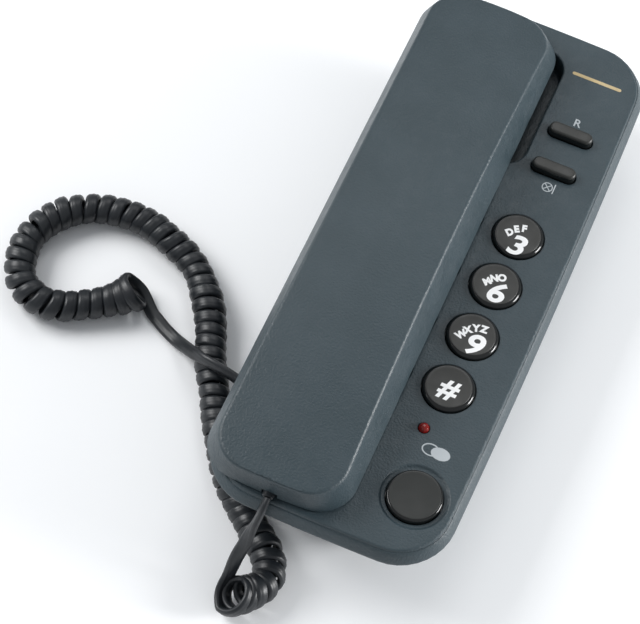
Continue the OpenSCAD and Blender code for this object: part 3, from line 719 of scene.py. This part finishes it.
def rectangle(left, low, right, high):
    return [(left, low), (right, low), (right, high), (left, high)]


def modular_plug(name, nose, along, wide, body, node):
    """Clear four-way plug: nose is its front centre, along points to its cord, wide across it."""
    def section_loop(u, points):
        return skin.loop([(nose[0] + along[0] * u + wide[0] * v, nose[1] + along[1] * u + wide[1] * v,
                           nose[2] + w) for v, w in points])

    def bar_between(ends, points, mat=0):
        loops = [section_loop(u, points) for u in ends]
        skin.band(*loops, mat)
        for loop in loops:
            skin.add(tuple(loop), mat)

    skin = Skin()
    half, tall = PLUG_HALF_WID, PLUG_HALF_TALL
    loops = [section_loop(u, rectangle(g - half, g - tall, half - g, tall - g)) for u, g in PLUG_ENDS]
    skin.bands(loops)
    for end in (loops[0], loops[-1]):
        skin.add(tuple(end))
    for k in range(4):
        v = CONTACT_PITCH * (k - 1.5)
        bar_between(CONTACT_ENDS, rectangle(v - CONTACT_HALF, tall - CONTACT_DEEP, v + CONTACT_HALF,
                                            tall + CONTACT_PROUD), 1)
    bar_between(LATCH_ENDS, rectangle(-1.5, -0.7 - tall, 1.5, 0.05 - tall))
    return place(skin.build(name, CLEAR, BRASS), body, "clear_plastic", node)


modular_plug("handset_plug_clear", (CORD_X, -92.2, 40.2), (0, -1), (1, 0), "handset", "handset_plug")
modular_plug("base_plug_clear", (-19.4, -63, 12.4), (-1, 0), (0, 1), "base", "base_plug")


def oval(y, half_w, half_h, n=24):
    """Upright oval section of the handset's boot at y."""
    return [(CORD_X + half_w * math.cos(2 * math.pi * i / n), y,
             LEAD_Z + half_h * math.sin(2 * math.pi * i / n)) for i in range(n)]


# (y, half width, half height)
BOOT = ((-102.0, 2.2, 1.3), (-105.5, 2.2, 1.35), (-106.3, 2.1, 1.3), (-107.4, 1.9, 1.3),
        (-107.8, 1.5, 1.0))
place(swept("handset_boot", [oval(*section) for section in BOOT], CORD), "handset", "cord")

# ---- legends and printed labels ----


def glyphs(text, size, weight, slant, wide=1.0):
    """A word's outline as a thin closed slab about its own centre, in mm: (points, faces)."""
    curve = bpy.data.curves.new("word", "FONT")
    curve.body = text
    curve.size = size
    curve.offset = weight
    curve.shear = slant
    curve.resolution_u = 5
    curve.extrude = 0.03
    word = bpy.data.objects.new("word", curve)
    bpy.context.scene.collection.objects.link(word)
    mesh = bpy.data.meshes.new_from_object(
        word.evaluated_get(bpy.context.evaluated_depsgraph_get()))
    points = [tuple(v.co) for v in mesh.vertices]
    faces = [tuple(p.vertices) for p in mesh.polygons]
    mid = [(min(p[k] for p in points) + max(p[k] for p in points)) / 2 for k in (0, 1)]
    bpy.data.objects.remove(word)
    bpy.data.curves.remove(curve)
    bpy.data.meshes.remove(mesh)
    return [(wide * (x - mid[0]), y - mid[1], z) for x, y, z in points], faces


def lay(skin, word, pos, turn, height):
    """Adds a word turned about pos by turn degrees, lying on the surface height(x, y)."""
    points, faces = word
    c, s = math.cos(math.radians(turn)), math.sin(math.radians(turn))
    placed = []
    for x, y, z in points:
        px, py = pos[0] + c * x - s * y, pos[1] + s * x + c * y
        placed.append((px, py, height(px, py) + 0.05 + z))
    first = skin.loop(placed)[0]
    for face in faces:
        skin.add(tuple(first + v for v in face))


LETTERS = {"key_2": "ABC", "key_3": "DEF", "key_4": "GHI", "key_5": "JKL", "key_6": "MNO",
           "key_7": "PQRS", "key_8": "TUV", "key_9": "WXYZ"}
ANGLES = {3: (152, 129, 107), 4: (163, 139, 115, 93)}  # of the letters round their arc
ARC_AT, ARC_R, LETTER_SIZE, LETTER_TURN = (3.1, -3.4), 7.1, 3.5, 0.75
MARKS = {"key_star": "*", "key_hash": "#"}
SIZES = {"*": 15, "#": 10.2}
LETTERED_SIZE, PLAIN_SIZE = 11.2, 13
DIGIT_AT = {"key_3": (1.15, -4.0), "key_6": (1.5, -2.7), "key_9": (2.3, -3.2)}
LETTERED_AT, PLAIN_AT = (1.5, -3.0), (0.3, -1.2)

for name, (column, row) in KEYS.items():
    centre = (COLUMNS[column], ROWS[row])

    def on_face(x, y, centre=centre):
        return face_height(math.dist((x, y), centre), KEY_TOP, FACE_R)

    skin = Skin()
    lettered = name in LETTERS
    if lettered:
        for letter, angle in zip(LETTERS[name], ANGLES[len(LETTERS[name])]):
            spot = (centre[0] + ARC_AT[0] + ARC_R * math.cos(math.radians(angle)),
                    centre[1] + ARC_AT[1] + ARC_R * math.sin(math.radians(angle)))
            lay(skin, glyphs(letter, LETTER_SIZE, 0.21, 0), spot, LETTER_TURN * (angle - 90), on_face)
    shift = DIGIT_AT.get(name, LETTERED_AT) if lettered else PLAIN_AT
    mark = MARKS.get(name, name[-1])
    size = SIZES.get(mark, LETTERED_SIZE if lettered else PLAIN_SIZE)
    wide = 1.12 if mark in "369" else 1.0
    lay(skin, glyphs(mark, size, 0.3, 0.14, wide), (centre[0] + shift[0], centre[1] + shift[1]), 0,
        on_face)
    place(skin.build(name + "_legend", LEGEND), name, "key_cap")


def flat_panel(_x, _y):
    return PANEL


def slab(skin, lift, outer, *holes):
    """A thin closed inlay on the panel, between an outer loop and holes, lift above it."""
    low, high = ([skin.loop(loop, PANEL + z) for loop in (outer, *holes)] for z in (-0.02, lift))
    for a, b in zip(low, high):
        skin.band(a, b)
    skin.cap(low[0], *low[1:])
    skin.cap(high[0], *high[1:])


def bar(pos, length, width, turn):
    c, s = math.cos(math.radians(turn)), math.sin(math.radians(turn))
    return [(pos[0] + c * x - s * y, pos[1] + s * x + c * y)
            for x, y in stadium((0, 0), length, width, 6)]


MUTE_ICON = (23.6, 43.2)
skin = Skin()
lay(skin, glyphs("R", 4.5, 0.06, 0), (24.2, 72.9), 0, flat_panel)
# mute: a crossed ring and a bar; each lift differs, so that crossing strokes share no face
slab(skin, 0.05, circle(MUTE_ICON, 1.95, 40), circle(MUTE_ICON, 1.6, 40))
slab(skin, 0.06, bar(MUTE_ICON, 3.4, 0.32, 45))
slab(skin, 0.07, bar(MUTE_ICON, 3.4, 0.32, -45))
slab(skin, 0.05, bar((26.0, 43.3), 4.2, 0.4, 90))
# redial: an open oval ring behind a filled oval
slab(skin, 0.05, arc(24.5, -68.6, 3.1, 2.3, 56, 304, 30) + arc(24.5, -68.6, 2.65, 1.85, 304, 56, 30))
slab(skin, 0.06, arc(28.0, -68.8, 3.3, 2.3, 0, 351, 39))
place(skin.build("panel_labels", LABEL, smooth=20), "base", "housing")
skin = Skin()
slab(skin, 0.05, stadium((24.2, 92.8), 18.5, 1.3, 8))
place(skin.build("panel_gold_bar", GOLD, smooth=20), "base", "housing")

# ---- the curly cord: handset lead, curled stretch and base lead, one swept band ----

COIL = [(-17.9, -130.9), (-14.0, -128.6), (-10.7, -125.0), (-9.1, -121.5), (-9.4, -117.4),
        (-11.6, -113.3), (-14.8, -110.0), (-18.6, -107.0), (-23.3, -102.9), (-28.0, -99.0),
        (-33.0, -94.5), (-38.5, -88.0), (-44.0, -79.5), (-49.0, -71.0), (-53.4, -63.3), (-59.4, -53.3),
        (-63.9, -42.4), (-70.1, -32.1), (-79, -22), (-89, -17), (-101, -13), (-113, -13), (-124, -17),
        (-132, -25), (-136, -35), (-135, -45), (-131, -53), (-124, -57), (-116, -57), (-107, -52),
        (-99, -46.5), (-95.0, -42.8), (-93.0, -40.0)]
LEAD = [(CORD_X, -107.7, LEAD_Z), (CORD_X, -110.4, 36.2), (-17.0, -113.0, 32.0), (-17.9, -115.7, 27),
        (-18.9, -118.6, 21), (-20.0, -121.6, 15.5)]
LEAD_WIDTH = [(0.35, -0.3, 0.85), (0.3, -0.3, 0.9), (0.25, -0.1, 0.95), (0.35, 0.15, 0.9),
              (0.5, 0.3, 0.75), (0.7, 0.4, 0.4)]
BASE_LEAD = [(-87.2, -41.8, 1.4), (-82.9, -44.5, 1.3), (-78.7, -47.0, 1.6), (-74.2, -49.3, 2.4),
             (-69.7, -52.0, 5.2), (-65.1, -55.1, 9.4), (-60.4, -57.5, 12.6), (-56.2, -58.7, 13.9),
             (-52.2, -59.4, 14.0), (-48.2, -60.0, 13.8), (-44.0, -61.1, 13.4), (-40.0, -62.1, 12.9),
             (-35.0, -62.9, 12.5), (-31.6, -63.0, 12.4)]
BASE_LEAD_WIDTH = [(0.5, 0.85, 0.2)] * 3 + [(0.45, 0.75, 0.4), (0.4, 0.6, 0.7), (0.3, 0.5, 0.8)] \
    + [(0.1, 0.2, 1)] * 8
BAND_W, BAND_T = 2.3, 1.3  # half the band's width and thickness
COIL_R, COIL_PITCH = 4.3, 4.7
PER_TURN = 24
AXIS_STEP, BAND_STEP = 0.1, 1.05  # spacing of points along the coil's axis and the band
# The end loops lean over (degrees), are wider and lie closer together; each change fades
# with the distance from its end
FIRST_LEAN, FIRST_LEAN_REACH, FIRST_WIDER, FIRST_WIDER_REACH, FIRST_CLOSER = 40, 13, 1.5, 8, 0.35
LAST_LEAN, LAST_LEAN_REACH, LAST_WIDER, LAST_WIDER_REACH, LAST_CLOSER = -34, 10, 1.9, 6, 0.25
# How far pitch, radius and lean wander, as shares and in radians
PITCH_WANDER, RADIUS_WANDER, LEAN_WANDER = 0.05, 0.04, 0.12
BEND_OPENS = 0.2  # how much a bend of the axis spreads the turns
HEADING_MEAN, WANDER_MEAN = 61, 121  # points averaged over
EASE_ROWS, EASE_PASSES = 7, 14  # how far and how often the joins of leads and coil are eased


def smooth_line(points, step):
    """Catmull-Rom line through the points (any number of columns), evenly spaced by step."""
    p = np.array(points, float)
    p = np.vstack([2 * p[0] - p[1], p, 2 * p[-1] - p[-2]])
    t = np.linspace(0, 1, 12, endpoint=False)[:, None]
    parts = [0.5 * (2 * b + (c - a) * t + (2 * a - 5 * b + 4 * c - d) * t ** 2
                    + (3 * b - a - 3 * c + d) * t ** 3)
             for a, b, c, d in zip(p, p[1:], p[2:], p[3:])]
    line = np.vstack(parts + [p[-2:-1]])
    gone = np.concatenate([[0], np.cumsum(np.linalg.norm(np.diff(line[:, :3], axis=0), axis=1))])
    at = np.linspace(0, gone[-1], max(2, round(gone[-1] / step)) + 1)
    return np.stack([np.interp(at, gone, line[:, k]) for k in range(line.shape[1])], axis=1)


def unit_rows(rows):
    return rows / np.linalg.norm(rows, axis=1)[:, None]


def moving_mean(values, count):
    return np.convolve(values, np.ones(count) / count, "valid")


def fading(distance, reach):
    return np.exp(-(distance / reach) ** 2)


axis = smooth_line([(x, y, 0) for x, y in COIL], AXIS_STEP)
ahead = unit_rows(np.gradient(axis, axis=0))
ahead = unit_rows(np.stack([moving_mean(np.pad(ahead[:, k], HEADING_MEAN // 2, "edge"), HEADING_MEAN)
                            for k in range(3)], 1))
curving = np.linalg.norm(np.gradient(ahead, AXIS_STEP, axis=0), axis=1)
rng = np.random.default_rng(7)
pitch_drift, radius_drift, lean_drift = (
    moving_mean(rng.normal(size=len(axis) + WANDER_MEAN - 1), WANDER_MEAN) * math.sqrt(WANDER_MEAN)
    for _ in range(3))
travel = np.arange(len(axis)) * AXIS_STEP
first_lean = fading(travel, FIRST_LEAN_REACH)
last_lean = fading(travel[-1] - travel, LAST_LEAN_REACH)
leaning = math.radians(FIRST_LEAN) * first_lean + math.radians(LAST_LEAN) * last_lean
pitch = COIL_PITCH * (1 + BEND_OPENS * curving * COIL_R) * (1 + PITCH_WANDER * pitch_drift) \
    * (1 - FIRST_CLOSER * first_lean - LAST_CLOSER * last_lean)

# a whole number of turns and a quarter, so that the coil ends at its foot
turns = np.concatenate([[0], np.cumsum(AXIS_STEP / pitch[:-1])])
whole = math.floor(turns[-1] - 0.25) + 0.25
turns *= whole / turns[-1]
phase = np.arange(0, whole, 1 / PER_TURN)
spot = np.interp(phase, turns, travel)


def at_spots(values):
    return np.stack([np.interp(spot, travel, values[:, k]) for k in range(3)], axis=1)


# the helix: its radius, its lean about the sideways direction, then its points
centre, forward = at_spots(axis), at_spots(ahead)
sideways = np.stack([-forward[:, 1], forward[:, 0], 0 * spot], axis=1)
radius = COIL_R + FIRST_WIDER * fading(spot, FIRST_WIDER_REACH) \
    + LAST_WIDER * fading(travel[-1] - spot, LAST_WIDER_REACH)
radius *= 1 + RADIUS_WANDER * np.interp(spot, travel, radius_drift)
tilt = np.interp(spot, travel, LEAN_WANDER * lean_drift + leaning)
lean, level = np.sin(tilt)[:, None], np.cos(tilt)[:, None]
above = np.array([0, 0, 1.0])
angle = -2 * math.pi * phase
helix = centre + sideways * (radius * np.cos(angle))[:, None] \
    + (above * level + forward * lean) * (radius * np.sin(angle))[:, None]
helix[:, 2] += radius * level[:, 0] + BAND_T + BAND_W * np.abs(lean[:, 0]) + 0.15
facing = forward * level - above * lean

# the whole band's line and the direction of its width, eased where leads and coil join
curl = np.hstack([helix, facing])
lead_in = [(*p, *w) for p, w in zip(LEAD, LEAD_WIDTH)] + [tuple(curl[0])]
lead_out = [tuple(curl[-1])] + [(*p, *w) for p, w in zip(BASE_LEAD, BASE_LEAD_WIDTH)]
lead_in, lead_out = (smooth_line(lead, BAND_STEP) for lead in (lead_in, lead_out))
route = np.vstack([lead_in, curl[1:], lead_out[1:]])
joins = (len(lead_in), len(lead_in) + len(curl))
rows = np.arange(1, len(route) - 1)
near_join = np.min([abs(rows - k) for k in joins], axis=0) < EASE_ROWS
for _ in range(EASE_PASSES):
    eased = (route[:-2] + 2 * route[1:-1] + route[2:]) / 4
    route[1:-1] = np.where(near_join[:, None], eased, route[1:-1])
route = smooth_line(route, BAND_STEP)
line, wide = route[:, :3], route[:, 3:]
going = unit_rows(np.gradient(line, axis=0))
wide = unit_rows(wide - going * np.sum(wide * going, axis=1)[:, None])
thick = np.cross(going, wide)

# the band's section: a rounded oblong with two shallow grooves on each face
section = []
for a in np.linspace(0, 2 * math.pi, 28, endpoint=False):
    u = math.copysign(abs(math.cos(a)) ** 0.9, math.cos(a))
    v = math.copysign(abs(math.sin(a)) ** 0.9, math.sin(a))
    section.append((BAND_W * u, BAND_T * v * (1 - 0.07 * (1 - math.cos(3 * math.pi * u)))))
skin = Skin()
rings = [skin.loop([tuple(p + w * u + t * v) for u, v in section])
         for p, w, t in zip(line, wide, thick)]
skin.bands(rings)
for ring, p in ((rings[0], line[0]), (rings[-1], line[-1])):
    skin.fan(ring, tuple(p))
cord = skin.build("curly_cord", CORD, smooth=60)
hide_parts("curly_cord_coil", "cord_lead_handset", "cord_lead_base")
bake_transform(cord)

# ---- materials of the CAD parts that stay ----

STAYING = {
    STEEL: ("housing_screws", "ringer_switch", "hook_spring", "microphone_capsule", "handset_weight",
            "handset_screws"),
    BOARD: ("main_circuit_board",),
    SILICONE: ("keypad_membrane", "receiver_gasket"),
    BLACK: ("ringer_sounder", "hook_switch", "line_jack", "cord_jack_base", "receiver_capsule",
            "handset_jack")}
for mat, nodes in STAYING.items():
    for node in nodes:
        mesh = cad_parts[node].data
        mesh.materials.clear()
        mesh.materials.append(mat)

# ---- light and floor ----

world = bpy.data.worlds.new("studio")
world.use_nodes = True
world.node_tree.nodes["Background"].inputs["Color"].default_value = (0.93, 0.96, 1.0, 1)
world.node_tree.nodes["Background"].inputs["Strength"].default_value = 0.44
bpy.context.scene.world = world


def softbox(name, size, place, aim, power):
    """A square area light, all in metres and watts."""
    data = bpy.data.lights.new(name, "AREA")
    data.size = size
    data.energy = power
    lamp = bpy.data.objects.new(name, data)
    lamp.location = place
    lamp.rotation_euler = (Vector(aim) - Vector(place)).to_track_quat("-Z", "Y").to_euler()
    bpy.context.scene.collection.objects.link(lamp)


softbox("overhead", 0.5, (-0.1, 0.65, 1.0), (0, 0, 0), 1.8)
softbox("left_high", 0.6, (-0.85, 0.0, 0.7), (-0.1, 0, 0), 9)
softbox("right_low", 0.4, (0.95, 0.25, 0.3), (0.02, 0, 0.03), 13)

floor = Skin()
floor.add(floor.loop([(x * 3000, y * 3000) for x, y in ((-1, -1), (1, -1), (1, 1), (-1, 1))], -0.02))
floor = floor.build("floor", FLOOR)
bpy.context.scene.view_settings.view_transform = "Standard"
